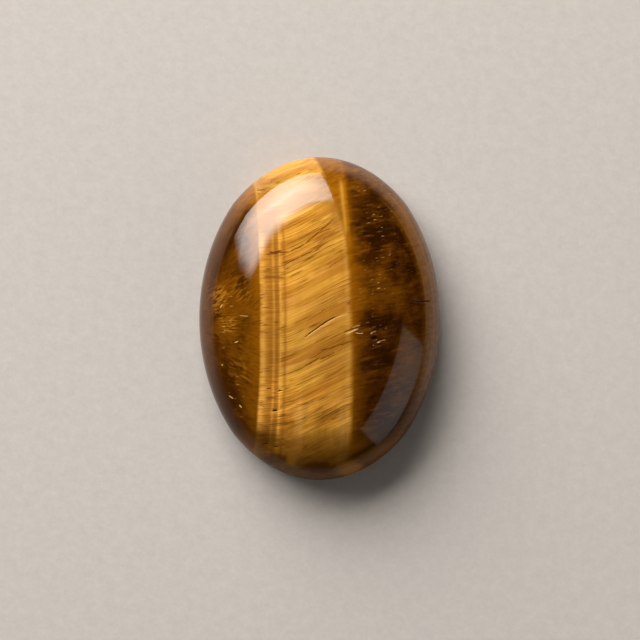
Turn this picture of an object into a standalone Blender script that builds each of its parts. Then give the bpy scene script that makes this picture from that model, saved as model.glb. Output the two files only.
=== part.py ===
"""A polished tiger's eye cabochon: one solid oval dome of stone with a flat back.

Metres, +Z up. The origin is the middle of the flat back, so the stone lies on Z = 0 with its
crown up. +Y runs along the oval's length and +X across it.
"""
import math

import bmesh
import bpy

# Driving dimensions, in metres
HALF_WIDTH = 0.0150  # from the middle to the side of the oval, along X
HALF_LENGTH = 0.0201  # from the middle to the end of the oval, along Y
DOME_RISE = 0.0082  # from the girdle, the widest level, up to the crown
GIRDLE_HEIGHT = 0.0022  # from the flat back up to the girdle
EDGE_BEVEL = 0.0006  # width of the ground-off edge round the back
OUTLINE_EXPONENT = 2.06  # 2 is a plain ellipse, and a little more fills out the shoulders

# Facets
SEGMENTS = 80
RINGS = 43
BEVEL_SEGMENTS = 3
SHARP_ANGLE = math.radians(40)

# Finish: the middle colour between the gold bands and the brown ones, with a glassy polish
STONE_COLOUR = (0.36, 0.17, 0.035, 1.0)
STONE_ROUGHNESS = 0.15


def clear_scene():
    """Remove whatever the open file holds."""
    for thing in list(bpy.data.objects):
        bpy.data.objects.remove(thing, do_unlink=True)


def shoulder_fullness(x, y):
    """How much further out the outline runs than a circle, in the direction of (x, y)."""
    radius = math.hypot(x, y)
    if radius == 0.0:
        return 1.0
    across = abs(x) / radius
    along = abs(y) / radius
    return (across**OUTLINE_EXPONENT + along**OUTLINE_EXPONENT) ** (-1.0 / OUTLINE_EXPONENT)


def shape_dome(stone):
    """Stretch a unit ball to the stone's three half-sizes and lift its girdle off the ground."""
    for vert in stone.verts:
        full = shoulder_fullness(vert.co.x, vert.co.y)
        vert.co.x *= full * HALF_WIDTH
        vert.co.y *= full * HALF_LENGTH
        vert.co.z = vert.co.z * DOME_RISE + GIRDLE_HEIGHT


def grind_back(stone):
    """Cut the ball off flat at Z = 0, close the cut and bevel the edge round it."""
    everything = stone.verts[:] + stone.edges[:] + stone.faces[:]
    bmesh.ops.bisect_plane(stone, geom=everything, plane_co=(0, 0, 0), plane_no=(0, 0, -1), clear_outer=True)
    rim = [edge for edge in stone.edges if edge.is_boundary]
    bmesh.ops.edgeloop_fill(stone, edges=rim)
    bmesh.ops.bevel(
        stone, geom=rim, offset=EDGE_BEVEL, segments=BEVEL_SEGMENTS, profile=0.5, affect="EDGES"
    )
    bmesh.ops.recalc_face_normals(stone, faces=stone.faces[:])


def make_stone_material():
    """Glossy gold-brown stone."""
    material = bpy.data.materials.new("tigers_eye")
    material.use_nodes = True
    shader = material.node_tree.nodes["Principled BSDF"]
    shader.inputs["Base Color"].default_value = STONE_COLOUR
    shader.inputs["Roughness"].default_value = STONE_ROUGHNESS
    shader.inputs["Metallic"].default_value = 0.0
    return material


def make_stone(collection):
    """Model the cabochon as one closed body."""
    stone = bmesh.new()
    bmesh.ops.create_uvsphere(stone, u_segments=SEGMENTS, v_segments=RINGS, radius=1.0)
    shape_dome(stone)
    grind_back(stone)

    mesh = bpy.data.meshes.new("tigers_eye_cabochon")
    stone.to_mesh(mesh)
    stone.free()
    mesh.materials.append(make_stone_material())
    mesh.shade_smooth()
    mesh.set_sharp_from_angle(angle=SHARP_ANGLE)
    cabochon = bpy.data.objects.new("tigers_eye_cabochon", mesh)
    collection.objects.link(cabochon)
    return cabochon


def main():
    clear_scene()
    collection = bpy.data.collections.new("tigers_eye_cabochon")
    bpy.context.scene.collection.children.link(collection)
    make_stone(collection)


main()
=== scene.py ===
# %% [markdown]
# # A polished tiger's eye, from the blank to the last fibre
#
# Tiger's eye is quartz that grew through a seam of blue asbestos and kept the shape of its fibres. Cut across
# the seam, the stone shows bands, and each band is made of thousands of parallel fibres that shine like silk.
# This lesson makes one such stone, an oval cabochon, which is a dome with a flat back. It comes in two
# halves: the shape, which is made with the same tools a person would use by hand, and the finish, which is a
# pattern in solid space.

# %% Load the frame
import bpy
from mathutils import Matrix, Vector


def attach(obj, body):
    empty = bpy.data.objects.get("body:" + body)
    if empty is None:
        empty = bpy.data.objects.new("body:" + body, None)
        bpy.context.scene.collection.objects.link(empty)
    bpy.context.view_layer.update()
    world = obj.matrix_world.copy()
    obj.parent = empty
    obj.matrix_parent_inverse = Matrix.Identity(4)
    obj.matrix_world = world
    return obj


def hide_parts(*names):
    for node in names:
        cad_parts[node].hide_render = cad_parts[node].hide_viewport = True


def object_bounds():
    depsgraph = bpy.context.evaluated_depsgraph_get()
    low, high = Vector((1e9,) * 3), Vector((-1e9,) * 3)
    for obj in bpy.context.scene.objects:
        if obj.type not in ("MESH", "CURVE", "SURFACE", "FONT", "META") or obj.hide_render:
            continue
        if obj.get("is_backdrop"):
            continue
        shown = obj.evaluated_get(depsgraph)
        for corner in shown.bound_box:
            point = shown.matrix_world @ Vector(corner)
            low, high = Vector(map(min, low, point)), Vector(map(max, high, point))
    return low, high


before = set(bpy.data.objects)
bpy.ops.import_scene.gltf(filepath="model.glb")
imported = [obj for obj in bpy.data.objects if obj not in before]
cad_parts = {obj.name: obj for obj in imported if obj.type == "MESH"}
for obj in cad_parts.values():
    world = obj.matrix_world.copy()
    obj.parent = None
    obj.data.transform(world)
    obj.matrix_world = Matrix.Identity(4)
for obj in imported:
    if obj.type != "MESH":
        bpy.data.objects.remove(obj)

import inspect
import math

import bmesh
import bpy
from mathutils import Vector

cad_low, cad_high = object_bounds()
MM = 0.001  # one millimetre in metres
print("frame holds", sorted(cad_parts), "from", tuple(cad_low), "to", tuple(cad_high))

# %% [markdown]
# ## The sizes that drive everything
#
# The frame already says how wide, long and tall the stone is, so those three numbers are read from it and
# never typed again. Only the heights that the outer box can't tell are given here: how far above its flat
# back the stone is widest (a gem cutter calls that line the girdle), and how much of the sharp edge round the
# back is ground off.

# %% Sizes of the stone
HALF_WIDTH = (cad_high[0] - cad_low[0]) / 2
HALF_LENGTH = (cad_high[1] - cad_low[1]) / 2
STONE_HEIGHT = cad_high[2] - cad_low[2]
GIRDLE_HEIGHT = 2.2 * MM
DOME_RISE = STONE_HEIGHT - GIRDLE_HEIGHT
EDGE_BEVEL = 0.6 * MM
print(f"stone {2000 * HALF_WIDTH:.1f} x {2000 * HALF_LENGTH:.1f} x {1000 * STONE_HEIGHT:.1f} mm")

# %% [markdown]
# ## The camera
#
# The picture looks straight down from about a third of a metre, through a long lens, so the dome hardly
# swells towards the camera. The frame is square and takes in a field of about 80 mm at the height of the
# girdle. The stone sits a fraction of a millimetre off the middle of the frame.

# %% Camera
CAMERA_DISTANCE = 0.321  # from the girdle up to the lens
FIELD_WIDTH = 79.7 * MM
SENSOR_WIDTH_MM = 36.0
FRAME_CENTRE = Vector((0.06 * MM, -0.19 * MM))

camera_data = bpy.data.cameras.new("camera")
camera_data.sensor_width = SENSOR_WIDTH_MM
camera_data.lens = SENSOR_WIDTH_MM * CAMERA_DISTANCE / FIELD_WIDTH
camera = bpy.data.objects.new("camera", camera_data)
camera.location = (FRAME_CENTRE.x, FRAME_CENTRE.y, GIRDLE_HEIGHT + CAMERA_DISTANCE)
bpy.context.scene.collection.objects.link(camera)
bpy.context.scene.camera = camera
print(f"lens {camera_data.lens:.0f} mm")

# %% [markdown]
# ## Two habits for working with operators
#
# An operator acts on whatever is selected, so each step starts by clearing the selection, and in edit mode
# the vertices to work on are then chosen by where they are. The small helper below does that choosing: it is
# given a question about a point, and selects the vertices for which the answer is yes.

# %% Selection helpers
def start_alone():
    """Leave nothing selected, in object mode."""
    if bpy.context.object and bpy.context.object.mode != "OBJECT":
        bpy.ops.object.mode_set(mode="OBJECT")
    bpy.ops.object.select_all(action="DESELECT")


def select_where(piece, chosen):
    """In edit mode, select the vertices whose place answers yes to chosen(place)."""
    shape = bmesh.from_edit_mesh(piece.data)
    for vert in shape.verts:
        vert.select = chosen(vert.co)
    shape.select_flush_mode()
    bmesh.update_edit_mesh(piece.data)
    return sum(1 for vert in shape.verts if vert.select)

# %% [markdown]
# ## Where the polish is broken
#
# A tiger's eye is never quite sound. Fibres have parted along their length and left narrow open cracks, and
# grains have dropped out and left pits. The larger ones are real hollows in the surface here, so they show
# from any side and catch the light on their lips. Each is a short path in millimetres across the plan of the
# stone, with its half width and its depth, read off the photograph. Cracks that have healed again are level
# with the polish, so they are left to the colour.

# %% Open cracks and pits
OPEN_MARKS = (
    # points in plan, half width, depth, all in millimetres
    (((-1.75, -2.25), (-1.00, -1.68), (0.10, -0.90), (1.10, -0.25), (1.95, 0.15)), 0.07, 0.10),
    (((6.30, -2.40), (6.95, -2.42)), 0.26, 0.30),
    (((6.45, -1.84), (7.15, -1.72)), 0.14, 0.12),
    (((6.60, -3.26), (7.00, -3.12)), 0.12, 0.12),
    (((7.35, -2.92), (8.05, -2.72)), 0.11, 0.10),
    (((3.00, -1.70), (4.85, -0.94)), 0.07, 0.08),
    (((4.30, -1.66), (5.20, -1.78)), 0.07, 0.08),
    (((11.05, 2.24), (12.30, 2.04), (13.55, 2.14)), 0.12, 0.12),
    (((-7.75, 15.84), (-6.60, 15.84)), 0.06, 0.09),
    (((-6.45, -8.62), (-5.95, -8.56)), 0.07, 0.08),
    (((-5.10, -8.90), (-4.55, -8.76)), 0.08, 0.10),
    (((-5.75, -11.33), (-5.15, -11.24)), 0.10, 0.12),
    (((-6.85, -15.45), (-6.35, -15.42)), 0.10, 0.12),
    (((-5.55, -15.80), (-5.15, -15.78)), 0.09, 0.10),
)


def nearest_on_path(x, y, points):
    """The distance in plan from (x, y) to a path, and the nearest place's share of the path, from 0 to 1."""
    best = (1e9, 0.0)
    for count, (start, end) in enumerate(zip(points, points[1:])):
        run = (end[0] - start[0], end[1] - start[1])
        share = ((x - start[0]) * run[0] + (y - start[1]) * run[1]) / (run[0] ** 2 + run[1] ** 2)
        share = min(1.0, max(0.0, share))
        gap = math.hypot(x - start[0] - share * run[0], y - start[1] - share * run[1])
        if gap < best[0]:
            best = (gap, (count + share) / (len(points) - 1))
    return best


TIP_WIDTH = 0.35  # how wide a mark still is at its two ends, as a share of its middle


def inside_mark(place, mark, widening):
    """Whether a place on the dome is over a mark, which is narrower at both ends."""
    points, half_width, _ = mark
    if place.z <= 0.0:
        return False
    gap, along = nearest_on_path(place.x / MM, place.y / MM, points)
    taper = math.sqrt(max(0.0, 1.0 - (2.0 * along - 1.0) ** 2))
    return gap < half_width * (TIP_WIDTH + (1.0 - TIP_WIDTH) * taper) * widening


print(len(OPEN_MARKS), "open marks")

# %% [markdown]
# ## The blank
#
# A ball of small, even triangles is the best start for a polished stone, because a glassy surface shows every
# long or thin face as a kink in its reflections. Where a crack will open, the faces are divided twice more
# first, while the shape is still a ball. Then a Cast modifier pulls the new points out onto the true ball, so
# the finer patches don't show. A second, very light Cast towards a box fills out the shoulders: the outline
# is about one part in a hundred fuller than a plain ellipse.

# %% Stone blank
BALL_DIVISIONS = 7
MARK_DIVISIONS = 2  # how many more times the faces over the marks are divided
BOX_FULLNESS = 0.026  # how far the Cast modifier goes from the ball towards a box
MARK_MARGIN = 0.30  # millimetres of fine faces round each mark

start_alone()
bpy.ops.mesh.primitive_ico_sphere_add(subdivisions=BALL_DIVISIONS, radius=1.0)
stone = bpy.context.object
stone.name = "polished_stone"
stone.data.name = "polished_stone"


def over_mark_on_ball(place):
    """Whether a place on the unit ball lies close enough to a mark to need finer faces."""
    if place.z <= 0.0:
        return False
    x = place.x * HALF_WIDTH / MM
    y = place.y * HALF_LENGTH / MM
    for points, half_width, _ in OPEN_MARKS:
        if nearest_on_path(x, y, points)[0] < half_width + MARK_MARGIN:
            return True
    return False


bpy.ops.object.mode_set(mode="EDIT")
bpy.ops.mesh.select_mode(type="VERT")
for _ in range(MARK_DIVISIONS):
    select_where(stone, over_mark_on_ball)
    bpy.ops.mesh.subdivide(number_cuts=1)
bpy.ops.object.mode_set(mode="OBJECT")

ball = stone.modifiers.new("true ball", "CAST")
ball.cast_type = "SPHERE"
ball.factor = 1.0
ball.use_radius_as_size = False
ball.size = 1.0
bpy.ops.object.modifier_apply(modifier=ball.name)

full = stone.modifiers.new("fuller shoulders", "CAST")
full.cast_type = "CUBOID"
full.factor = BOX_FULLNESS
full.use_z = False
bpy.ops.object.modifier_apply(modifier=full.name)
print("blank has", len(stone.data.polygons), "faces")

# %% [markdown]
# ## Grinding: dome, back and edge
#
# The ball is stretched to the stone's three half sizes and lifted to the girdle's height. One bisect takes
# off everything below the table and caps the cut, which leaves the flat back. Last, the sharp edge round the
# back gets a small round bevel, as a grinder gives it so that it doesn't chip.

# %% Dome, back and edge
BEVEL_STEPS = 5
FLAT = 1e-7  # how close to nothing a height still counts as on the back
bpy.ops.object.mode_set(mode="EDIT")
bpy.ops.mesh.select_all(action="SELECT")
bpy.ops.transform.resize(value=(HALF_WIDTH, HALF_LENGTH, DOME_RISE))
bpy.ops.transform.translate(value=(0, 0, GIRDLE_HEIGHT))
bpy.ops.mesh.select_all(action="SELECT")
bpy.ops.mesh.bisect(plane_co=(0, 0, 0), plane_no=(0, 0, 1), use_fill=True, clear_inner=True, threshold=FLAT)
bpy.ops.mesh.select_all(action="DESELECT")
select_where(stone, lambda place: abs(place.z) < FLAT)
bpy.ops.mesh.region_to_loop()
bpy.ops.mesh.bevel(offset=EDGE_BEVEL, segments=BEVEL_STEPS, profile=0.5, affect="EDGES")
bpy.ops.object.mode_set(mode="OBJECT")
print("stone has", len(stone.data.polygons), "faces; lowest point", min(v.co.z for v in stone.data.vertices))

# %% [markdown]
# ## Opening the cracks and pits
#
# Each hollow is pressed in by shrinking three nested selections along their normals, widest first. The
# innermost vertices are in all three, so they end up deepest, and the walls slope as those of a chipped crack
# do. The same vertices are marked in an attribute of the mesh, because the polisher's wheel never reached
# them: the finish reads it later and takes the gloss away there.

# %% Press in the marks
PRESSES = (1.0, 0.72, 0.42)  # widths of the nested selections, as shares of the mark's width
BROKEN = "broken"

stone.data.attributes.new(BROKEN, "FLOAT", "POINT")
bpy.ops.object.mode_set(mode="EDIT")
for mark in OPEN_MARKS:
    for step, widening in enumerate(PRESSES):
        bpy.ops.mesh.select_all(action="DESELECT")
        if not select_where(stone, lambda place: inside_mark(place, mark, widening)):
            continue
        shape = bmesh.from_edit_mesh(stone.data)
        layer = shape.verts.layers.float[BROKEN]
        for vert in shape.verts:
            if vert.select:
                vert[layer] = (step + 1) / len(PRESSES)
        bmesh.update_edit_mesh(stone.data)
        bpy.ops.transform.shrink_fatten(value=-mark[2] * MM / len(PRESSES))
bpy.ops.mesh.select_all(action="DESELECT")
bpy.ops.object.mode_set(mode="OBJECT")
bpy.ops.object.shade_smooth()
print("deepest mark", max(mark[2] for mark in OPEN_MARKS), "mm")

# %% [markdown]
# ## Tie the stone to the frame
#
# The plain solid in the frame stays for weight and contact, and the fine stone stands in for it in the
# picture.

# %% Ride and replace
NODE = "tigers_eye_cabochon"
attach(stone, "root")
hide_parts(NODE)
print(stone.name, "stands in for", NODE)

# %% [markdown]
# ## Building node trees without getting lost
#
# Every pattern below is arithmetic on the place in the stone, done by shader nodes. A few small helpers keep
# that readable. They all draw on one node tree, which is chosen once, when it is made. One feeds a socket
# with a number or with another socket, one adds a node, and calc adds a Math node and hands back its result,
# so a formula reads nearly as it does on paper. The others ease from one number to another, work on vectors,
# mix, brighten and lay coats of colour, and make groups and materials.

# %% Node helpers
SIGNS = {"+": "ADD", "-": "SUBTRACT", "*": "MULTIPLY", "/": "DIVIDE", "*+": "MULTIPLY_ADD"}
sheet = None  # the node tree that is being drawn on


def draw_on(tree):
    """Let new nodes go into this tree from now on."""
    global sheet
    sheet = tree


def feed(socket, value):
    """Set a socket to a value, or link another node's output to it."""
    if isinstance(value, bpy.types.NodeSocket):
        sheet.links.new(value, socket)
    else:
        socket.default_value = value


def add_node(kind, inputs=None, **settings):
    """Add a node, set its options, and feed its inputs by name or number."""
    node = sheet.nodes.new(kind)
    for name, value in settings.items():
        setattr(node, name, value)
    for name, value in (inputs or {}).items():
        feed(node.inputs[name], value)
    return node


def calc(sign, *values):
    """The result of a Math node, or of a chain of them where + or * joins more than two values."""
    if sign in "+*" and len(values) > 2:
        values = (calc(sign, *values[:-1]), values[-1])
    node = add_node("ShaderNodeMath", operation=SIGNS.get(sign, sign))
    for socket, value in zip(node.inputs, values):
        feed(socket, value)
    return node.outputs[0]


def fade(value, start, end, low=0.0, high=1.0):
    """Ease from low to high while the value goes from start to end."""
    node = add_node("ShaderNodeMapRange", interpolation_type="SMOOTHSTEP", clamp=False)
    for socket, number in zip(node.inputs, (value, start, end, low, high)):
        feed(socket, number)
    return node.outputs["Result"]


def vector(operation, *values):
    """A Vector Math node. The result is a vector, or a number where the operation measures something."""
    node = add_node("ShaderNodeVectorMath", operation=operation)
    sockets = (node.inputs[0], node.inputs["Scale"]) if operation == "SCALE" else node.inputs
    for socket, value in zip(sockets, values):
        feed(socket, value)
    return node.outputs["Value" if operation in ("LENGTH", "DISTANCE", "DOT_PRODUCT") else "Vector"]


def blend_colour(share, first, second, mode="MIX"):
    """Mix two colours by a share from 0 to 1."""
    node = add_node("ShaderNodeMix", {0: share, 6: first, 7: second}, data_type="RGBA", blend_type=mode)
    return node.outputs[2]


def brighten(colour, amount):
    """The colour times an amount, which may be more than 1."""
    inputs = {0: amount, 6: (0, 0, 0, 1), 7: colour}
    return add_node("ShaderNodeMix", inputs, data_type="RGBA", clamp_factor=False).outputs[2]


def paint_over(colour, *coats):
    """Lay coats over a colour, one after the other. Each is (its share from 0 to 1, its colour)."""
    for share, coat in coats:
        colour = blend_colour(share, colour, coat)
    return colour


# the kinds of the groups' sockets; every other one is a Float
SOCKET_KINDS = {"colour": "Color", **dict.fromkeys(("place", "middle", "size", "start", "end"), "Vector")}


def as_group(*outputs):
    """Make the function below it into a node group: it takes the inputs and returns the outputs."""

    def draw(fill):
        inputs = list(inspect.signature(fill).parameters)
        group = bpy.data.node_groups.new(fill.__name__, "ShaderNodeTree")
        for labels, in_out in ((inputs, "INPUT"), (outputs, "OUTPUT")):
            for label in labels:
                kind = "NodeSocket" + SOCKET_KINDS.get(label, "Float")
                group.interface.new_socket(label, in_out=in_out, socket_type=kind)
        draw_on(group)
        entry, result = add_node("NodeGroupInput").outputs, add_node("NodeGroupOutput").inputs
        for label, value in zip(outputs, fill(*[entry[label] for label in inputs])):
            feed(result[label], value)
        return group

    return draw


def use_group(group, **inputs):
    """Place a node group and feed its inputs."""
    return add_node("ShaderNodeGroup", inputs, node_tree=group).outputs


def srgb(red, green, blue):
    """A colour as it is read off a screen, from 0 to 255, in the linear values that Blender works with."""
    shares = [part / 255 for part in (red, green, blue)]
    return (*[((share + 0.055) / 1.055) ** 2.4 if share > 0.04 else share / 12.92 for share in shares], 1.0)


def new_material(name):
    """A material and its shader."""
    material = bpy.data.materials.new(name)
    material.use_nodes = True
    draw_on(material.node_tree)
    return material, sheet.nodes["Principled BSDF"]

# %% [markdown]
# ## A map of the stone: bands and fibres
#
# Two numbers say where a point lies in the rock. The first is its place across the bands. The seams don't
# stand upright in the stone: they lean, so a band drifts sideways as the dome falls away, and that lean is
# what bows the bands when they are seen from above. The second is the place across the fibres. The fibres run
# level out of the left wall of the gold seam, climb steeply through its middle and flatten again at the far
# wall, because the rock slid while they grew. A curve holds that path, and taking it off the plain height
# leaves a number that stays the same all along a fibre.

# %% Stone space
CROWN = STONE_HEIGHT / MM
BAND_LEAN = 0.18  # millimetres sideways for each millimetre down
BAND_TWIST = 0.0019  # how much the far bands turn along the stone
TWIST_FROM = 7.0  # millimetres left of the middle, where they don't turn
# how far the fibres have climbed at each place across the bands, in millimetres
FIBRE_CLIMB = (
    (-16.0, -0.8), (-6.8, -0.15), (-4.8, -0.02), (-3.9, 0.17), (-3.0, 0.52), (-2.0, 0.98), (0.0, 2.0),
    (2.0, 3.02), (3.2, 3.6), (4.2, 3.94), (6.0, 4.36), (9.0, 4.95), (16.0, 6.2),
)
WOBBLE_SIZE = 0.30  # waves per millimetre in the bands' unevenness
WOBBLE_MM = 0.12


def follow_curve(value, corners):
    """How high a smooth curve through the corners is at value. Each corner is (position, height)."""
    places, heights = zip(*corners)
    first, lowest = places[0], min(heights)
    span = places[-1] - first
    rise = max(heights) - lowest
    curve = add_node("ShaderNodeFloatCurve")
    feed(curve.inputs["Value"], calc("/", calc("-", value, first), span))
    line = curve.mapping.curves[0]
    fitted = [((place - first) / span, (height - lowest) / rise) for place, height in corners]
    line.points[0].location = fitted[0]
    line.points[1].location = fitted[-1]
    for corner in fitted[1:-1]:
        line.points.new(*corner)
    curve.mapping.update()
    return calc("*+", curve.outputs[0], rise, lowest)


@as_group("place", "across", "fibre", "along", "height")
def stone_space():
    place = vector("SCALE", add_node("ShaderNodeTexCoord").outputs["Object"], 1.0 / MM)
    x, y, z = add_node("ShaderNodeSeparateXYZ", {0: place}).outputs
    lean = calc("*", calc("-", CROWN, z), BAND_LEAN)
    twist = calc("*", calc("+", x, TWIST_FROM), y, BAND_TWIST)
    wobble = add_node("ShaderNodeTexNoise", {"Vector": place, "Scale": WOBBLE_SIZE, "Detail": 2.0})
    swing = calc("*", calc("-", wobble.outputs[0], 0.5), 2.0 * WOBBLE_MM)
    across = calc("+", x, lean, calc("+", twist, swing))
    return place, across, calc("-", y, follow_curve(across, FIBRE_CLIMB)), y, z


print("fibres climb", FIBRE_CLIMB[-1][1] - FIBRE_CLIMB[0][1], "mm from side to side")

# %% [markdown]
# ## Fibre streaks
#
# A noise that is squeezed across the fibres and stretched along them gives streaks. One group makes them for
# every zone, so the fine silk, the broad shadows and the dark zones' glimmer differ only in the numbers they
# are given. The same noise gives hairlines too: along the places where it passes its middle value it draws
# thin lines, as a map draws a height line, and those lines follow the fibres.

# %% Streak group
DEPTH_RATE = 0.8  # how quickly streaks change with depth, in waves per millimetre
STREAK_ROUGHNESS = 0.6
HAIRLINE_WIDTH = 0.04  # how far from its middle value the noise still draws a hairline


@as_group("streak", "hairline")
def fibre_streaks(across, fibre, height, fine, long, detail, seed):
    spot = add_node("ShaderNodeCombineXYZ", {
        0: calc("*", across, long), 1: calc("*", fibre, fine), 2: calc("*", height, DEPTH_RATE),
    }).outputs[0]
    asked = {"Vector": spot, "W": seed, "Scale": 1.0, "Detail": detail, "Roughness": STREAK_ROUGHNESS}
    noise = add_node("ShaderNodeTexNoise", asked, noise_dimensions="4D").outputs[0]
    off_middle = calc("ABSOLUTE", calc("-", noise, 0.5))
    return noise, fade(off_middle, HAIRLINE_WIDTH, 0.0)


def streaks_along(across, fibre, height):
    """A short way to ask for streaks: how fine, how long, how detailed, which seed and which kind."""

    def streak(fine, long, detail, seed, kind="streak"):
        return use_group(
            fibre_streaks, across=across, fibre=fibre, height=height,
            fine=fine, long=long, detail=detail, seed=seed,
        )[kind]

    return streak


print("streaks change", DEPTH_RATE, "times for each millimetre down")

# %% [markdown]
# ## Lines along the bands, and blotches
#
# A bright line along a band is a narrow bump in the place across. A blotch is a soft ball at a chosen place,
# stretched to its own three half sizes, with a ragged edge from a little noise added to the distance.

# %% Line and blotch groups
BLOTCH_EDGE = (1.25, 0.45)  # where a blotch starts and where it is full, in its half sizes from its middle
BLOTCH_MIDDLE = 6.0  # the height of every blotch's middle, in millimetres
BLOTCH_HALF_HEIGHT = 9.0


@as_group("line")
def band_line(across, centre, half_width, strength):
    gap = calc("/", calc("-", across, centre), half_width)
    return [calc("*", calc("EXPONENT", calc("*", gap, gap, -1.0)), strength)]


@as_group("mask")
def blotch(place, middle, size, ragged):
    away = vector("DIVIDE", vector("SUBTRACT", place, middle), size)
    return [fade(calc("+", vector("LENGTH", away), ragged), *BLOTCH_EDGE)]


def line_at(across, centre, half_width, strength):
    """How much of one line shows at each place."""
    return use_group(band_line, across=across, centre=centre, half_width=half_width, strength=strength)["line"]


def blotches(place, ragged, spots):
    """The strongest of several blotches. Each is (x, y, half width, half length, strength), in millimetres."""
    strongest = 0.0
    for x, y, half_width, half_length, strength in spots:
        middle, size = (x, y, BLOTCH_MIDDLE), (half_width, half_length, BLOTCH_HALF_HEIGHT)
        mask = use_group(blotch, place=place, middle=middle, size=size, ragged=ragged)["mask"]
        strongest = calc("MAXIMUM", strongest, calc("*", mask, strength))
    return strongest


print("a line is drawn by", len(band_line.nodes), "nodes and a blotch by", len(blotch.nodes))

# %% [markdown]
# ## Glints
#
# The dark zones are dusted with tiny bright flecks, where single fibres lie just right for the light. A
# Voronoi texture scatters points through the stone, and squeezing its space turns the round spot at each
# point into a short dash. Only a few cells are lit: each cell has a random colour, and the dash shows where
# that colour is high enough.

# %% Glint group
DASH_SIZE = (0.25, 0.20)  # how much the dashes differ in size, and the smallest, in cells
DASH_CORE = 0.4  # the share of a dash that is fully bright
LIT_EDGE = 0.02
DIMMEST = 0.3


@as_group("mask")
def glints(across, fibre, height, length, thickness, share):
    spot = add_node("ShaderNodeCombineXYZ", {
        0: calc("/", across, length), 1: calc("/", fibre, thickness), 2: calc("/", height, length),
    })
    cells = add_node("ShaderNodeTexVoronoi", {"Vector": spot.outputs[0], "Scale": 1.0})
    lot, girth, shine = add_node("ShaderNodeSeparateColor", {0: cells.outputs["Color"]}).outputs
    bar = calc("-", 1.0, share)
    lit = fade(lot, bar, calc("+", bar, LIT_EDGE))
    size = calc("*+", girth, *DASH_SIZE)
    dash = fade(cells.outputs["Distance"], size, calc("*", size, DASH_CORE))
    return [calc("*", lit, dash, calc("*+", shine, 1.0 - DIMMEST, DIMMEST))]

# %% [markdown]
# ## Healed cracks
#
# Quartz has grown back into most of the cracks, and left dark hairs in the gold that thin out towards both
# ends. The distance from a point to a straight stretch of crack takes seven vector nodes, and a curved
# crack is a few stretches end to end. A little noise shakes the place first, so the hairs aren't ruled lines.
# Each also has a faint stain beside it.

# %% Healed crack group
STAIN_WIDTH = 4.0  # how much wider than the crack its stain is
END_WIDTH = 0.25  # how wide a crack still is at its ends, as a share of its middle
CRACK_CORE = 0.3  # the share of its width where it is darkest


@as_group("crack", "stain")
def healed_crack(place, start, end, width):
    run = vector("SUBTRACT", end, start)
    out = vector("MULTIPLY", vector("SUBTRACT", place, start), (1, 1, 0))
    share = calc("/", vector("DOT_PRODUCT", out, run), vector("DOT_PRODUCT", run, run))
    share = calc("MINIMUM", calc("MAXIMUM", share, 0.0), 1.0)
    gap = vector("DISTANCE", out, vector("SCALE", run, share))
    ends = calc("-", 1.0, calc("POWER", calc("ABSOLUTE", calc("*+", share, 2.0, -1.0)), 4.0))
    width = calc("*", width, calc("*+", ends, 1.0 - END_WIDTH, END_WIDTH))
    return fade(gap, width, calc("*", width, CRACK_CORE)), fade(gap, calc("*", width, STAIN_WIDTH), 0.0)


HEALED_CRACKS = (
    # start, end, half width, strength: in millimetres, in plan
    ((-6.50, 7.80), (-3.60, 8.14), 0.11, 0.80),
    ((-6.10, 8.05), (-4.70, 8.12), 0.16, 0.90),
    ((-3.60, 8.14), (-1.76, 9.06), 0.09, 0.85),
    ((-1.76, 9.06), (-0.06, 10.53), 0.08, 0.85),
    ((-0.06, 10.53), (1.70, 12.10), 0.07, 0.70),
    ((-3.70, 6.84), (-2.37, 7.48), 0.09, 0.75),
    ((-2.37, 7.48), (-0.80, 8.26), 0.08, 0.80),
    ((-0.20, 9.10), (1.90, 10.70), 0.07, 0.55),
    ((-4.88, 10.55), (0.06, 13.07), 0.05, 0.45),
    ((-3.96, 9.01), (-2.64, 9.62), 0.05, 0.45),
    ((-2.64, 9.62), (0.06, 11.15), 0.06, 0.55),
    ((1.20, 6.30), (3.30, 7.60), 0.08, 0.50),
    ((-1.60, -0.40), (0.90, 1.20), 0.06, 0.45),
    ((0.20, 0.90), (2.30, 1.90), 0.05, 0.45),
    ((-3.83, -6.75), (-1.88, -5.89), 0.07, 0.75),
    ((-1.88, -5.89), (0.06, -4.67), 0.08, 0.75),
    ((-1.30, -5.00), (0.50, -3.90), 0.06, 0.60),
    ((0.06, -3.94), (2.00, -3.40), 0.08, 0.75),
    ((2.00, -3.40), (4.40, -2.60), 0.07, 0.70),
    ((0.06, -5.04), (1.88, -4.13), 0.09, 0.75),
    ((1.88, -4.13), (3.70, -3.22), 0.06, 0.50),
    ((-0.60, -2.90), (1.30, -2.05), 0.06, 0.50),
    ((-3.96, -10.30), (0.06, -8.57), 0.05, 0.45),
    ((-3.16, -13.18), (0.06, -11.33), 0.05, 0.45),
    ((-0.60, -12.60), (2.60, -10.90), 0.06, 0.50),
    ((-6.70, 5.04), (-4.30, 4.96), 0.16, 0.60),
    ((-6.80, 3.40), (-4.60, 3.36), 0.06, 0.45),
    ((-6.80, -7.60), (-5.10, -7.70), 0.06, 0.55),
    ((-6.60, -9.72), (-5.30, -9.66), 0.08, 0.70),
    ((-6.20, -13.00), (-3.90, -12.75), 0.08, 0.55),
    ((-4.60, -10.35), (-2.90, -10.05), 0.07, 0.50),
)
CRACK_SPREAD = 1.25  # all of them a little wider than they were read
SHAKE_SIZE = 1.7  # waves per millimetre
SHAKE_MM = 0.308


def crack_at(place, start, end, half_width):
    """One straight stretch of crack, and its stain."""
    return use_group(healed_crack, place=place, start=(*start, 0.0), end=(*end, 0.0), width=half_width)


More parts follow.
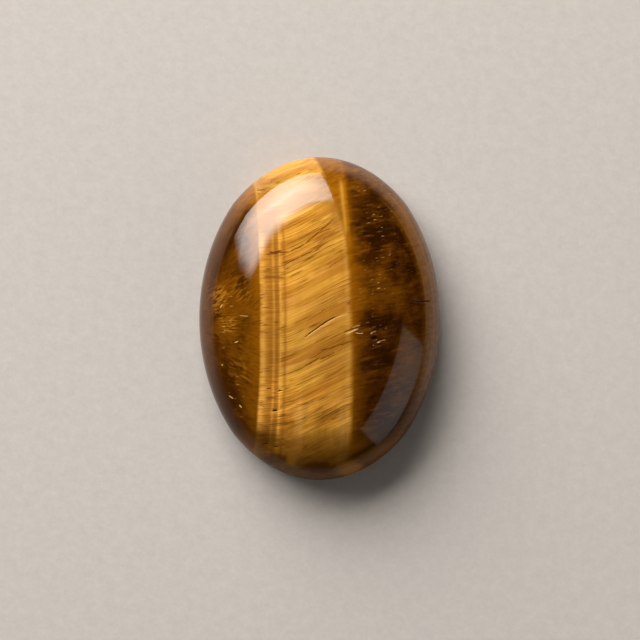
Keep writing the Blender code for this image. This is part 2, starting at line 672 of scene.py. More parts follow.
def all_healed_cracks(place):
    """The darkest crack and the darkest stain at each place."""
    shake = add_node("ShaderNodeTexNoise", {"Vector": place, "Scale": SHAKE_SIZE, "Detail": 2.0}).outputs[0]
    shift = add_node("ShaderNodeCombineXYZ", {1: calc("*", calc("-", shake, 0.5), SHAKE_MM)})
    shaken = vector("ADD", place, shift.outputs[0])
    darkest = {"crack": 0.0, "stain": 0.0}
    for start, end, half_width, strength in HEALED_CRACKS:
        found = crack_at(shaken, start, end, CRACK_SPREAD * half_width)
        for kind in darkest:
            darkest[kind] = calc("MAXIMUM", darkest[kind], calc("*", found[kind], strength))
    return darkest["crack"], darkest["stain"]


print(len(HEALED_CRACKS), "stretches of healed crack")

# %% [markdown]
# ## Colours
#
# These are the stone's own colours, as they would look in full even light, except those that stand for light
# and shade painted into the colour: the glint, the highlight cream, the rim's glow, warm ring and pale rings,
# the shade under the key light's reflection in the dull and shaded gold, and the shade in the open cracks'
# hollows in the crack brown.

# %% Palette
GOLD = srgb(178, 128, 44)
GOLD_DEEP = srgb(164, 107, 34)
GOLD_LIGHT = srgb(202, 149, 73)
GOLD_PALE = srgb(190, 136, 56)
BRONZE = srgb(132, 82, 20)
# dull patches of the seam, and painted shade under the key light's reflection
SHADED_GOLD = srgb(126, 82, 24)
STRIP = srgb(149, 99, 33)
# the colour of dark hairs and healed cracks, and painted shade in the open cracks' hollows
CRACK_BROWN = srgb(78, 38, 6)
HAIR_BROWN = srgb(92, 48, 8)
UMBER = srgb(88, 48, 2)
UMBER_DARK = srgb(52, 24, 1)
UMBER_WARM = srgb(112, 64, 3)
GLIMMER = srgb(152, 100, 24)
ORANGE_EDGE = srgb(134, 80, 9)
NEAR_BLACK = srgb(36, 14, 1)
RIGHT_UMBER = srgb(72, 36, 2)
RIGHT_DARK = srgb(48, 20, 1)
HONEY = srgb(108, 63, 6)
FOOT_AMBER = srgb(136, 84, 8)
FOOT_BROWN = srgb(76, 42, 4)
# painted light round the rim: its glow, its warm ring and its pale rings
RIM_HAZE = srgb(66, 50, 34)
RIM_GOLD = srgb(128, 80, 14)
RIM_PALE = srgb(134, 102, 60)
GLINT = srgb(200, 150, 88)
# the cream of the painted highlights on the crack lips and single fibres
LIP_CREAM = srgb(222, 180, 112)

# %% [markdown]
# ## The gold seam
#
# The seam is the heart of the stone. Its colour starts from a slow drift between a deeper and a plainer gold.
# Over that come lighter and darker silk, broad bronze bands where the fibres turn away from the light, and a
# fine grain. The thin dark hairs come last, and only in patches. The strip beside the left wall is finer and
# browner, and ruled across with level lines. It ends short of the top, and of the pale lines beside it only
# the first, at the left wall, runs the whole length of the stone.

# %% Gold seam group
LEFT_EDGE = -7.04
STRIP_EDGE = (-4.47, -4.77)  # where the strip beside the left wall starts, and where it is full
STRIP_TOP = (12.6, 10.6)
LONG_LINES = (
    # lines that run the whole length, with breaks: centre, half width, strength
    (-6.70, 0.40, 0.90),
    (3.50, 0.32, 0.55),
)
STRIP_LINES = (
    # lines that end where the strip does: centre, half width, strength, paint
    (-5.76, 0.14, 0.35, BRONZE),
    (-5.42, 0.15, 0.45, GOLD_PALE),
    (-5.12, 0.11, 0.35, BRONZE),
    (-4.65, 0.15, 0.85, GOLD_PALE),
    (-4.10, 0.20, 0.65, BRONZE),
)
FOOT_COLUMNS = (
    # bands that show only towards the foot of the stone: centre, half width, strength, paint
    (-2.25, 0.50, 0.55, GOLD_LIGHT),
    (0.50, 1.50, 0.50, BRONZE),
    (2.90, 0.45, 0.45, GOLD_LIGHT),
)
# painted light and shade along the seam: how much its colour is brightened at each place along the stone,
# standing in for the silk's glow where the light falls off down the dome, and darkened under the key
# light's reflection and towards the foot
SEAM_GLOW = (
    (-20.2, 0.60), (-18.5, 0.72), (-16.5, 0.94), (-14.5, 1.14), (-12.5, 1.36), (-10.5, 1.46),
    (-8.0, 1.33), (-5.5, 1.08), (-2.5, 0.98), (2.0, 1.0), (5.0, 1.04), (8.0, 0.94), (11.0, 0.95),
    (13.0, 0.96), (14.4, 0.72), (16.2, 0.62), (18.0, 0.88), (20.2, 1.0),
)
HAIR_HEIGHTS = (3.8, 5.6)  # on the steep sides, below these, the hairs run together and are left out


@as_group("colour", "relief")
def gold_seam(across, fibre, height, along):
    streak = streaks_along(across, fibre, height)
    tone = streak(0.45, 0.05, 2.0, 7.0)
    silk = streak(2.8, 0.10, 3.0, 1.0)
    bundles = streak(1.0, 0.07, 2.0, 11.0)
    grain = streak(6.5, 0.24, 3.0, 3.0)
    low = fade(along, -3.0, -11.0)
    colour = paint_over(
        blend_colour(fade(tone, 0.38, 0.60), GOLD_DEEP, GOLD),
        (fade(silk, 0.50, 0.68, 0.0, 0.48), GOLD_LIGHT),
        (fade(silk, 0.48, 0.35, 0.0, 0.38), BRONZE),
        (calc("*", fade(bundles, 0.54, 0.66), calc("*+", low, 0.34, 0.28)), BRONZE),
        (fade(bundles, 0.46, 0.36, 0.0, 0.30), GOLD_LIGHT),
    )

    rules = streak(4.5, 0.22, 3.0, 13.0)
    strip = paint_over(
        blend_colour(fade(rules, 0.36, 0.62), BRONZE, STRIP),
        (fade(bundles, 0.52, 0.64, 0.0, 0.45), BRONZE),
    )
    short = fade(along, *STRIP_TOP)
    colour = paint_over(colour, (calc("*", fade(across, *STRIP_EDGE), short), strip))

    breaks = fade(streak(1.6, 0.5, 3.0, 19.0), 0.32, 0.58, 0.35, 1.0)
    at_foot = fade(along, -8.0, -13.5)
    first, last = [(*line, GOLD_PALE) for line in LONG_LINES]
    for lines, reach in (([first], breaks), (STRIP_LINES, short), ([last], breaks), (FOOT_COLUMNS, at_foot)):
        for *line, paint in lines:
            colour = paint_over(colour, (calc("*", line_at(across, *line), reach), paint))

    hairs = streak(2.6, 0.06, 1.0, 5.0, "hairline")
    patches = fade(streak(0.40, 0.22, 2.0, 9.0), 0.44, 0.58, 0.0, 0.78)
    hairs = calc("*", hairs, patches, fade(height, *HAIR_HEIGHTS))
    colour = paint_over(colour, (hairs, HAIR_BROWN))

    columns = fade(streak(0.03, 0.7, 2.0, 17.0), 0.35, 0.65, -1.0, 1.0)
    swing = calc("*", columns, fade(along, -8.0, -14.0, 0.04, 0.16))
    roughness = calc("*+", low, 0.14, 0.12)
    # lift is the grain, the tone and the painted light and shade along the seam
    lift = calc(
        "*",
        calc("*+", fade(grain, 0.32, 0.68, -1.0, 1.0), roughness, 1.0),
        calc("+", swing, 1.0),
        fade(tone, 0.34, 0.64, 0.93, 1.07),
        follow_curve(along, SEAM_GLOW),
    )
    return brighten(colour, lift), calc("+", calc("*", silk, 0.6), calc("*", grain, 0.4))

# %% [markdown]
# ## The left wall
#
# On both sides of the seam the stone is brown, and clear enough to look a little way into. On the left the
# fibres fan out: above the middle they rise away from the seam, below it they fall. The fan is made by taking
# a slope off the place along the stone, and the slope changes sign on the way down. Where the fibres bunch
# they glimmer, so a few blotches say where the silk is bright, and a few more where the wall is dark.

# %% Left wall group
# the fibres' slope eases between two places along the stone, from one value to another
FAN = (-3.5, 2.5, -0.45, 0.75)
LEFT_GLIMMERS = (
    # x, y, half width, half length, strength
    (-12.2, 2.5, 1.5, 1.6, 0.80),
    (-11.2, -0.6, 1.4, 1.3, 0.75),
    (-9.6, -6.6, 1.6, 2.2, 0.30),
    (-9.4, 3.4, 1.4, 2.2, 0.25),
)
LEFT_DARKS = (
    (-12.0, 7.6, 2.0, 3.4, 0.80),
    (-10.4, 6.0, 1.6, 1.2, 0.50),
    (-12.2, -3.6, 1.6, 1.4, 0.50),
    (-8.7, -0.9, 1.2, 1.1, 0.35),
    (-10.4, -10.3, 1.6, 2.2, 0.45),
    (-11.4, -9.6, 1.8, 3.0, 0.75),
    (-9.8, -13.6, 1.8, 2.2, 0.70),
)


@as_group("colour")
def left_wall(place, across, along, height):
    away = calc("-", across, LEFT_EDGE)
    fanned = calc("-", along, calc("*", fade(along, *FAN), away))
    streak = streaks_along(across, fanned, height)
    clouds = streak(0.40, 0.40, 3.0, 21.0)
    silk = streak(3.0, 1.10, 6.0, 23.0)
    foot = fade(calc("-", along, calc("*", away, 0.9)), 2.5, -5.5, 0.0, 0.8)
    ragged = calc("*+", clouds, 1.6, -0.8)
    glow = calc("*+", blotches(place, ragged, LEFT_GLIMMERS), 0.86, 0.12)
    return [paint_over(
        blend_colour(fade(clouds, 0.36, 0.56), UMBER_DARK, UMBER),
        (fade(away, -2.0, 0.0, 0.0, 0.9), UMBER_WARM),
        (fade(silk, 0.48, 0.32, 0.0, 0.50), UMBER_DARK),
        (calc("*", foot, fade(away, -1.5, -3.5)), UMBER_DARK),
        (calc("*", fade(silk, 0.46, 0.62), glow), GLIMMER),
        (blotches(place, ragged, LEFT_DARKS), UMBER_DARK),
    )]


print(len(LEFT_GLIMMERS), "glimmers and", len(LEFT_DARKS), "dark places on the left")

# %% [markdown]
# ## The right wall
#
# On the right there are smoky clouds from nearly black to honey, crossed by fine silk, and the wall next to
# the seam glows orange. The glow dies away like warmth from a fire, quickly at first and then slowly, so its
# strength is an exponential of the distance from the seam. How far it reaches is read off a curve along the
# stone.

# %% Right wall group
RIGHT_DARKS = (
    (6.9, 10.4, 3.1, 1.7, 0.95),
    (7.0, 13.2, 3.4, 2.8, 0.65),
    (5.2, 10.3, 1.3, 1.2, 0.60),
    (10.2, 6.9, 1.9, 1.3, 0.75),
    (6.9, -0.6, 2.6, 1.5, 0.80),
    (7.0, -5.0, 1.9, 3.6, 0.60),
    (6.4, -14.6, 2.6, 1.6, 0.70),
)
RIGHT_HONEYS = (
    (8.3, 14.6, 1.2, 0.8, 0.40),
    (9.8, 12.6, 1.3, 1.2, 0.35),
    (8.6, 3.2, 2.0, 1.5, 0.50),
    (4.6, 15.6, 1.0, 1.6, 0.45),
    (11.0, -4.6, 1.7, 3.4, 0.45),
)
# how far the orange glow reaches from the seam, in millimetres, at each place along the stone
ORANGE_REACH = (
    (-20.0, 0.8), (-12.0, 0.65), (-5.0, 0.7), (-2.0, 0.6), (0.5, 0.8), (3.0, 1.6), (6.0, 1.3), (8.5, 0.7),
    (10.5, 0.28), (13.0, 0.45), (16.0, 0.55), (20.0, 0.5),
)
ORANGE_FROM = 4.1


@as_group("colour", "relief")
def right_wall(place, across, fibre, along, height):
    streak = streaks_along(across, fibre, height)
    clouds = streak(0.42, 0.30, 4.0, 31.0)
    silk = streak(2.6, 0.45, 6.0, 33.0)
    ragged = calc("*+", clouds, 2.0, -1.0)
    reach = calc("*", follow_curve(along, ORANGE_REACH), fade(clouds, 0.3, 0.7, 0.6, 1.4))
    from_seam = calc("MAXIMUM", calc("-", across, ORANGE_FROM), 0.0)
    orange = calc("EXPONENT", calc("*", calc("/", from_seam, reach), -1.0))
    orange = calc("*", orange, fade(along, 15.5, 17.8, 1.0, 0.6))
    return paint_over(
        blend_colour(fade(clouds, 0.38, 0.58), RIGHT_DARK, RIGHT_UMBER),
        (fade(clouds, 0.56, 0.70, 0.0, 0.5), HONEY),
        (blotches(place, ragged, RIGHT_HONEYS), HONEY),
        (blotches(place, ragged, RIGHT_DARKS), NEAR_BLACK),
        (fade(silk, 0.50, 0.34, 0.0, 0.68), NEAR_BLACK),
        (fade(silk, 0.52, 0.68, 0.0, 0.58), HONEY),
        (orange, blend_colour(fade(silk, 0.35, 0.62), UMBER_WARM, ORANGE_EDGE)),
    ), silk


print(len(RIGHT_HONEYS), "honey clouds and", len(RIGHT_DARKS), "dark ones on the right")

# %% [markdown]
# ## Where the zones meet
#
# The three zones are laid side by side, each edge with its own softness. The left wall ends almost sharply.
# The right one comes in softly, and towards the top it leans over the seam, so a curve along the stone says
# where it starts.

# %% Zone edges
LEFT_SOFTNESS = 0.15
RIGHT_SOFTNESS = 0.72
RIGHT_EDGE = (
    (-20.0, 3.6), (-12.0, 3.6), (-5.0, 3.55), (8.0, 3.35), (10.0, 3.1), (12.0, 2.7), (13.3, 2.4),
    (15.1, 1.95), (17.0, 1.45), (18.9, 0.8), (20.2, 0.4),
)


def zone_edges(across, along):
    """How far a place is past the left wall, and how far past the seam. Both go from 0 to 1."""
    past_left = fade(across, LEFT_EDGE - LEFT_SOFTNESS, LEFT_EDGE + LEFT_SOFTNESS)
    seam_edge = follow_curve(along, RIGHT_EDGE)
    return past_left, fade(across, seam_edge, calc("+", seam_edge, RIGHT_SOFTNESS))


print(f"the seam is {RIGHT_EDGE[0][1] - LEFT_EDGE:.1f} mm wide at the foot")

# %% [markdown]
# ## Hairs and cracks
#
# These go over the zones. A lone gold line runs beside the top of the seam. In some patches dark hairs lie
# side by side, and the healed cracks cross them. The lips of the open cracks get a painted highlight in pale
# cream, where they would catch the light, and so do a few single fibres in the left wall that shine as
# brightly.

# %% Hairs and cracks
LONE_LINE = (3.62, 0.26, 0.62)  # centre, half width, strength
LONE_ENDS = ((9.0, 11.5), (17.6, 16.0))
STAIN_SHARE = 0.35
HAIR_ZONES = (
    (-0.8, 11.0, 3.8, 1.9, 0.50),
    (1.6, 12.4, 1.1, 1.6, 0.55),
    (-3.2, 7.4, 2.4, 0.9, 0.45),
    (1.6, 6.9, 2.4, 0.9, 0.40),
    (0.2, -4.3, 2.6, 1.1, 0.25),
    (-5.7, 5.2, 1.9, 0.9, 0.60),
    (0.4, -11.6, 3.0, 1.3, 0.55),
    (2.4, 1.4, 1.6, 0.8, 0.35),
)
PALE_LIPS = (
    # painted highlights on the broken edges of the long crack and of the splintered patch: start, end, half
    # width, strength
    ((-1.60, -2.40), (0.30, -1.05), 0.07, 0.35),
    ((0.30, -1.05), (1.90, 0.00), 0.08, 0.50),
    ((1.90, 0.00), (3.60, 0.62), 0.09, 0.50),
    ((3.20, -1.90), (4.70, -1.25), 0.11, 0.75),
    ((3.90, -1.20), (4.90, -0.80), 0.10, 0.60),
    ((4.40, -1.75), (5.30, -1.80), 0.10, 0.70),
    ((6.20, -1.85), (6.90, -1.55), 0.14, 0.70),
    ((7.00, -2.95), (8.00, -2.60), 0.14, 0.75),
    ((6.50, -3.30), (7.00, -3.10), 0.12, 0.70),
    # painted highlights on single bright fibres in the left wall
    ((-11.15, -9.50), (-10.60, -9.85), 0.11, 0.80),
    ((-9.85, -10.60), (-9.55, -10.95), 0.10, 0.70),
    ((-10.35, -2.95), (-9.95, -2.80), 0.09, 0.70),
    ((-12.20, 1.30), (-11.90, 1.75), 0.09, 0.50),
    ((-9.75, 0.33), (-8.65, 0.28), 0.07, 0.40),
    ((-12.05, -5.75), (-11.85, -5.65), 0.09, 0.70),
)


def add_hairs_and_cracks(colour, place, across, fibre, height, along):
    """The lone line, the bundled hairs, the healed cracks and the painted highlights on the lips."""
    lone = calc("*", *[fade(along, *end) for end in LONE_ENDS], line_at(across, *LONE_LINE))
    hairs = streaks_along(across, fibre, height)(4.6, 0.10, 0.5, 41.0, "hairline")
    bundled = calc("*", blotches(place, 0.0, HAIR_ZONES), fade(height, *HAIR_HEIGHTS), hairs)
    colour = paint_over(colour, (lone, GOLD), (bundled, CRACK_BROWN))
    crack, stain = all_healed_cracks(place)
    colour = paint_over(colour, (calc("*", stain, STAIN_SHARE), BRONZE), (crack, CRACK_BROWN))
    # painted highlights on the crack lips and on single fibres
    for *stretch, strength in PALE_LIPS:
        lip = crack_at(place, *stretch)["crack"]
        colour = paint_over(colour, (calc("*", lip, strength), LIP_CREAM))
    return colour


print(len(PALE_LIPS), "pale lips and fibres")

# %% [markdown]
# ## Shades and glints
#
# The seam is duller in a few places, and under the key light's mirrored crescent it is painted darker, as
# painted shade. The foot of the stone darkens to amber and brown with some gold left in it. Fine painted
# glints lie over the dark zones, and larger painted flakes shine where the stone is splintered.

# %% Shades and glints
SEAM_SHADES = (
    # the first two are painted shade under the key light's mirrored crescent; the others are duller patches
    (-6.4, 12.6, 2.1, 3.8, 0.90),
    (-3.4, 14.6, 3.0, 1.8, 0.60),
    (-5.8, 5.3, 1.9, 1.2, 0.45),
    (2.0, 12.6, 0.9, 2.0, 0.60),
    (-5.8, -1.6, 1.6, 2.4, 0.30),
)
FOOT_DARKS = (
    (-0.2, -18.4, 3.0, 1.1, 0.90),
    (-7.4, -15.0, 2.4, 1.6, 0.75),
    (-5.6, -17.4, 2.2, 1.0, 0.80),
)
FOOT_GOLDS = (
    (3.9, -18.8, 1.7, 1.3, 0.80),
    (-3.4, -17.2, 0.7, 1.1, 0.60),
    (-3.0, -15.2, 0.9, 1.2, 0.35),
)
GLINT_ZONES = (
    (6.9, 5.5, 2.6, 9.5, 1.0),
    (6.9, 14.5, 3.2, 3.0, 0.9),
    (-11.6, 0.5, 1.6, 5.5, 0.8),
    (-10.2, -10.0, 1.4, 3.5, 0.7),
)
SPLINTER_ZONES = (
    (7.1, -1.7, 1.6, 1.0, 0.85),
    (4.6, -1.0, 1.5, 0.45, 0.75),
)
GLINT_KINDS = (
    # length, thickness, share of the cells, strength, where
    (0.85, 0.24, 0.30, 0.55, GLINT_ZONES),
    (0.70, 0.30, 0.45, 1.00, SPLINTER_ZONES),
)


def add_shades_and_glints(colour, place, across, fibre, height, along, relief):
    """The seam's dull patches and painted shade, the dark foot and the painted glints."""
    ragged = calc("*+", relief, 1.2, -0.6)
    foot = calc(
        "MAXIMUM", blotches(place, ragged, FOOT_DARKS), fade(along, -14.5, -19.0, 0.0, 0.6)
    )
    colour = paint_over(
        colour,
        # dull patches and painted shade along the seam
        (blotches(place, ragged, SEAM_SHADES), SHADED_GOLD),
        (fade(along, -13.0, -16.5, 0.0, 0.55), FOOT_AMBER),
        (foot, FOOT_BROWN),
        (blotches(place, ragged, FOOT_GOLDS), GOLD_DEEP),
    )
    # painted glints: bright flecks over the dark zones and larger ones over the splintered patch
    for length, thickness, share, strength, zones in GLINT_KINDS:
        flecks = use_group(
            glints, across=across, fibre=fibre, height=height, length=length, thickness=thickness, share=share
        )["mask"]
        shown = calc("*", flecks, blotches(place, 0.0, zones), strength)
        colour = paint_over(colour, (shown, GLINT))
    return colour

# %% [markdown]
# ## The rim
#
# Light that enters low down, through the thin sides, makes the stone hazier and paler there, so a little pale
# brown is added towards the bottom as painted glow. Dark rings are painted where neither panel nor floor is
# mirrored, and on the far side a warm ring of painted glow and two thin pale rings of painted light follow the
# rim. The left side is darker low down. Each ring is a line across the height.

# %% Rim
RIM_SHADOWS = (
    # dark rings where neither panel nor floor is mirrored: height, half width, strength, sides, ends
    (6.42, 0.36, 0.80, (-6.6, -8.2), (6.0, 9.5)),
    (6.05, 0.28, 0.70, (3.0, 5.0), (-3.5, -7.0)),
)
# the pale rings are painted light
RIM_LINES = ((6.15, 0.09, 0.22), (4.95, 0.16, 0.30))  # pale rings: height, half width, strength


def add_rim(colour, across, along, height, relief):
    """The painted glow of the thin sides, the darker left side low down, and the painted dark and pale rings
    round the rim.
    """
    far_side = calc("MAXIMUM", fade(across, -6.0, 8.0, 0.35, 1.0), fade(along, 4.0, 10.0))
    far_side = calc("*", far_side, fade(along, -15.0, -4.0, 0.2, 1.0))
    # painted glow: pale brown added low on the thin sides, standing in for light that passes through them
    haze = calc("*", fade(height, 6.4, 4.6), far_side)
    colour = blend_colour(haze, colour, RIM_HAZE, mode="ADD")
    near_side = calc("*", fade(height, 7.4, 5.4, 0.0, 0.6), fade(across, -8.0, -10.5))
    colour = paint_over(colour, (near_side, UMBER_DARK))
    for *ring, sides, ends in RIM_SHADOWS:
        where = calc("*", fade(across, *sides), fade(along, *ends))
        colour = paint_over(colour, (calc("*", where, line_at(height, *ring)), NEAR_BLACK))
    # painted glow: a warm ring low on the far side
    warm = calc(
        "*", fade(height, 6.9, 5.8, 0.0, 0.75), fade(across, 9.0, 12.5),
        fade(along, -12.0, -6.0, 0.35, 1.0),
    )
    warm_paint = blend_colour(fade(relief, 0.36, 0.62), UMBER_WARM, RIM_GOLD)
    colour = paint_over(colour, (warm, warm_paint))
    # painted light: two thin pale rings along the far rim
    where = calc("*", fade(across, 8.0, 11.0), fade(along, -10.0, -6.0))
    for ring in RIM_LINES:
        colour = paint_over(colour, (calc("*", where, line_at(height, *ring)), RIM_PALE))
    return colour


print(len(RIM_SHADOWS), "dark rings and", len(RIM_LINES), "pale ones")

# %% [markdown]
# ## The finish
#
# The broken places are painted last, dark brown, as painted shade in their hollows. Over everything lies a
# clear coat, which is the polish; it is missing inside the open cracks and worn on the ground back. A share of
# metal, with its highlight stretched across the fibres, gives the silk that slides over the seam when the
# stone is turned.

# %% Stone material
SEAM_METAL = 0.10
SILK_RELIEF = 0.03 * MM
SHADER_NUMBERS = {
    "Anisotropic": 0.7, "Anisotropic Rotation": 0.078, "Specular IOR Level": 0.0, "Coat Roughness": 0.03,
    "Coat IOR": 1.42,
}


def build_stone_material():
    material, shader = new_material("tigers_eye_polished")
    place, across, fibre, along, height = use_group(stone_space)
    left = use_group(left_wall, place=place, across=across, along=along, height=height)
    gold = use_group(gold_seam, across=across, fibre=fibre, height=height, along=along)
    right = use_group(right_wall, place=place, across=across, fibre=fibre, along=along, height=height)
    past_left, past_gold = zone_edges(across, along)
    colour = paint_over(left["colour"], (past_left, gold["colour"]), (past_gold, right["colour"]))
    colour = add_hairs_and_cracks(colour, place, across, fibre, height, along)
    colour = add_shades_and_glints(colour, place, across, fibre, height, along, right["relief"])
    colour = add_rim(colour, across, along, height, right["relief"])
    broken = add_node("ShaderNodeAttribute", attribute_name=BROKEN).outputs["Fac"]
    # painted shade: the hollows of the open cracks and pits are painted dark brown on top of their real
    # shading
    colour = paint_over(colour, (fade(broken, 0.15, 0.75), CRACK_BROWN))
    feed(shader.inputs["Base Color"], colour)

    in_seam = calc("*", past_left, calc("-", 1.0, past_gold))
    whole = fade(broken, 0.25, 0.02)
    feed(shader.inputs["Metallic"], calc("*", whole, in_seam, SEAM_METAL))
    silkiness = fade(gold["relief"], 0.3, 0.7, 0.56, 0.44)
    feed(shader.inputs["Roughness"], calc("+", silkiness, fade(broken, 0.1, 0.6, 0.0, 0.3)))
    feed(shader.inputs["Coat Weight"], calc("*", whole, fade(height, 0.02, 0.10, 0.25, 1.0)))
    bump = add_node("ShaderNodeBump", {"Strength": 0.25, "Distance": SILK_RELIEF, "Height": gold["relief"]})
    feed(shader.inputs["Normal"], bump.outputs[0])
    tangent = add_node("ShaderNodeTangent", direction_type="RADIAL", axis="X")
    feed(shader.inputs["Tangent"], tangent.outputs[0])
    for name, number in SHADER_NUMBERS.items():
        shader.inputs[name].default_value = number
    return material


stone.data.materials.clear()
stone.data.materials.append(build_stone_material())
print("the material takes", len(stone.data.materials[0].node_tree.nodes), "nodes of its own")

# %% [markdown]
# ## The floor
#
# A wide, pale, matt sheet with a faint tooth, as of heavy paper, whose colour strays a little from grain to
# grain. Seen along its own surface, paper looks darker than it does from above, and the polish near the
# stone's foot mirrors it at just that slant. Plain diffuse shading doesn't know this, so rays that come off a
# glossy surface are given a floor that darkens away from the stone and away from the key light.

# %% Floor
FLOOR_HALF = 3.0
FLOOR_COLOUR = (0.433, 0.406, 0.383, 1.0)
TOOTH_SIZE = 1.6 / MM  # waves per metre
MOTTLE_SIZE = 0.7 / MM
MOTTLE_DEPTH = 0.34  # how far the paper's colour strays
# where the mirrored floor starts and stops to darken, away from the key light and away from the stone
FROM_KEY = (-4 * MM, -24 * MM)
FROM_STONE = (20 * MM, 90 * MM)

start_alone()
bpy.ops.mesh.primitive_plane_add(size=2 * FLOOR_HALF)
floor = bpy.context.object
floor.name = "floor"
floor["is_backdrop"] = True


def build_paper():
    material, shader = new_material("floor_paper")
    spot = add_node("ShaderNodeTexCoord").outputs["Object"]
    _, back, _ = add_node("ShaderNodeSeparateXYZ", {0: spot}).outputs
    far = vector("LENGTH", spot)
    dim = calc("*", fade(back, *FROM_KEY, 1.0, 0.42), fade(far, *FROM_STONE, 1.0, 0.6))
    mirrored = add_node("ShaderNodeLightPath").outputs["Is Glossy Ray"]
    mottle = add_node(
        "ShaderNodeTexNoise", {"Vector": spot, "Scale": MOTTLE_SIZE, "Detail": 5.0, "Roughness": 0.85}
    )
    shade = calc("*+", mottle.outputs[0], MOTTLE_DEPTH, 1.0 - 0.5 * MOTTLE_DEPTH)
    paper = paint_over(
        brighten(FLOOR_COLOUR, shade), (mirrored, brighten(FLOOR_COLOUR, dim))
    )
    feed(shader.inputs["Base Color"], paper)
    tooth = add_node("ShaderNodeTexNoise", {"Vector": spot, "Scale": TOOTH_SIZE, "Detail": 3.0})
    bump = add_node("ShaderNodeBump", {"Strength": 0.5, "Distance": 0.05 * MM, "Height": tooth.outputs[0]})
    feed(shader.inputs["Normal"], bump.outputs[0])
    shader.inputs["Roughness"].default_value = 0.9
    shader.inputs["Specular IOR Level"].default_value = 0.0
    return material


floor.data.materials.append(build_paper())
print("floor is", 2 * FLOOR_HALF, "m wide")

# %% [markdown]
# ## The lights
#
# Two soft panels light the stone, and both can be read off the polish. The bright crescent near the top of
# the dome is the key, a big softbox up and to the left that leans over the stone. The pale patch low on the
# right is a reflecting card on the other side. A panel isn't evenly bright: the lamp inside makes a hot
# patch, the cloth dims towards its edges, and one end can fade out slowly. The Parametric output of the
# Geometry node says where on the panel a ray lands, from 0 to 1 each way, so a few Math nodes can draw that
# falloff and trim the panel's outline.

# %% Lights
def bearing(azimuth, elevation):
    """A direction, from an azimuth that turns from +Y towards +X and an elevation, both in degrees."""
    turn, rise = math.radians(azimuth), math.radians(elevation)
    return Vector((math.sin(turn) * math.cos(rise), math.cos(turn) * math.cos(rise), math.sin(rise)))


def hump(side, up):
    """A soft hill of brightness round the place where side and up are nothing."""
    squares = calc("+", calc("*", side, side), calc("*", up, up))
    return calc("EXPONENT", calc("*", squares, -1.0))


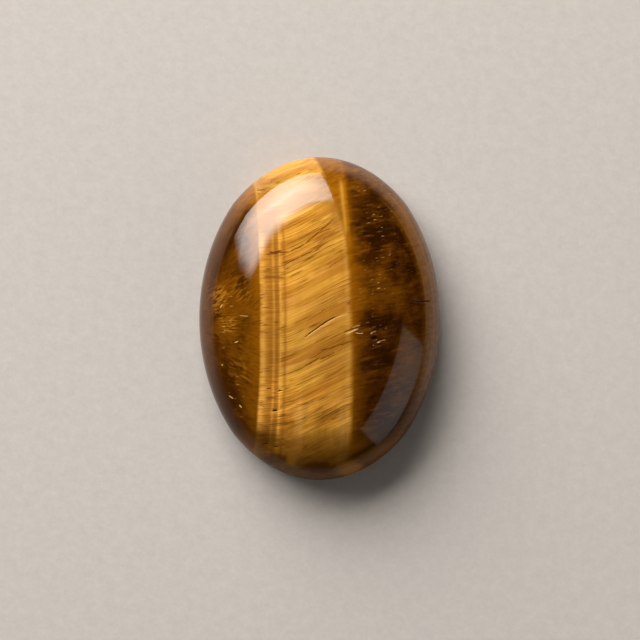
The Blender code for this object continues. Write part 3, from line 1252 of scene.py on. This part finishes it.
def soft_panel(name, azimuth, elevation, distance, width, height, radiance, colour, lean=0.0, fall=(0.0, 0.0),
               soft=0.05, sides=(-1.0, 0.0, 1.0, 0.0), high_soft=None, top=None, foot=1.0, hot_patch=None):
    """A rectangular soft light aimed at the stone. On it, sideways and upwards run from -1 to 1.

    It leans over the stone by some degrees and dims away from its middle by fall. Its sides can slant: (low
    side, its slope, high side, its slope), and the high one can end more softly. Its top goes dark between two
    heights and can bow up from one place on: (lit, dark, from, slope). At the bottom it has foot of its
    brightness left. The hot patch is (across, up, half width, half height, extra)."""
    data = bpy.data.lights.new(name, "AREA")
    data.shape = "RECTANGLE"
    data.size = width
    data.size_y = height
    data.energy = math.pi * math.pi * width * height
    data.color = colour
    data.use_nodes = True
    draw_on(data.node_tree)
    spot = add_node("ShaderNodeSeparateXYZ", {0: add_node("ShaderNodeNewGeometry").outputs["Parametric"]})
    sideways, upwards = [calc("*+", part, 2.0, -1.0) for part in spot.outputs[:2]]
    level = hump(
        calc("*", sideways, math.sqrt(fall[0])), calc("*", upwards, math.sqrt(fall[1]))
    )
    level = calc("*", level, fade(upwards, -0.85, -0.1, foot, 1.0))
    if hot_patch:
        across, up, half_width, half_height, extra = hot_patch
        side = calc("/", calc("-", sideways, across), half_width)
        up = calc("/", calc("-", upwards, up), half_height)
        level = calc("*+", hump(side, up), extra, level)
    low, low_slope, high, high_slope = sides
    from_low = calc("-", sideways, calc("*+", upwards, low_slope, low))
    from_high = calc("-", calc("*+", upwards, high_slope, high), sideways)
    lit, dark, bow_from, bow = top or (1.0 - soft, 1.0, 0.0, 0.0)
    bowed = calc("MAXIMUM", calc("-", sideways, bow_from), 0.0)
    level = calc(
        "*", level, fade(from_low, 0.0, soft), fade(from_high, 0.0, high_soft or soft),
        fade(calc("*+", bowed, -bow, upwards), dark, lit),
    )
    feed(sheet.nodes["Emission"].inputs["Strength"], calc("*", level, radiance / math.pi))

    panel = bpy.data.objects.new(name, data)
    panel.location = bearing(azimuth, elevation) * distance + Vector((0, 0, DOME_RISE))
    panel.rotation_euler = bearing(azimuth, elevation + lean).to_track_quat("Z", "Y").to_euler()
    bpy.context.scene.collection.objects.link(panel)
    print(name, f"{width:.2f} x {height:.2f} m")


KEY_DISTANCE = 0.9
CARD_DISTANCE = 0.6
soft_panel(
    "key_light", -29.8, 29.8, KEY_DISTANCE, 1.41 * KEY_DISTANCE, 0.824 * KEY_DISTANCE, 15.5, (1, 0.97, 0.93),
    lean=8, fall=(0.97, 0.0), soft=0.04, sides=(-0.89, 0.045, 0.99, -0.127), high_soft=0.28,
    top=(0.55, 0.89, 0.27, 0.55), foot=0.72, hot_patch=(-0.14, -0.07, 0.50, 0.15, 0.30),
)
soft_panel(
    "reflector_card", 120.7, 20.4, CARD_DISTANCE, 0.92 * CARD_DISTANCE, 0.76 * CARD_DISTANCE, 1.1,
    (1, 0.93, 0.86), fall=(0.4, 0.4), soft=0.12,
)

# %% [markdown]
# ## The room
#
# The rest of the room is a faint even light that fills the shadow. It is kept out of the polish, where it
# would veil the dark zones, and it looks pale to the camera, so a view from the side has a quiet backdrop.
# Light Path tells the three kinds of ray apart.

# %% Room light
ROOM_LIGHT = 0.11
ROOM_IN_POLISH = 0.01
ROOM_SEEN = 0.62

world = bpy.data.worlds.new("studio")
bpy.context.scene.world = world
world.use_nodes = True
draw_on(world.node_tree)
backdrop = sheet.nodes["Background"]
backdrop.inputs["Color"].default_value = (1.0, 0.95, 0.9, 1)
ray = add_node("ShaderNodeLightPath")
glow = calc("*+", ray.outputs["Is Glossy Ray"], ROOM_IN_POLISH - ROOM_LIGHT, ROOM_LIGHT)
glow = calc("*+", ray.outputs["Is Camera Ray"], ROOM_SEEN - ROOM_LIGHT, glow)
feed(backdrop.inputs["Strength"], glow)

bpy.context.scene.view_settings.view_transform = "Standard"

# %% [markdown]
# ## The stone's size
#
# The fine stone has to be as large as the plain solid it stands for, so both boxes are printed: the
# frame's at the start and the stone's here.

# %% Sizes
seen_low, seen_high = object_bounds()
print("visual box", tuple(seen_low), tuple(seen_high))
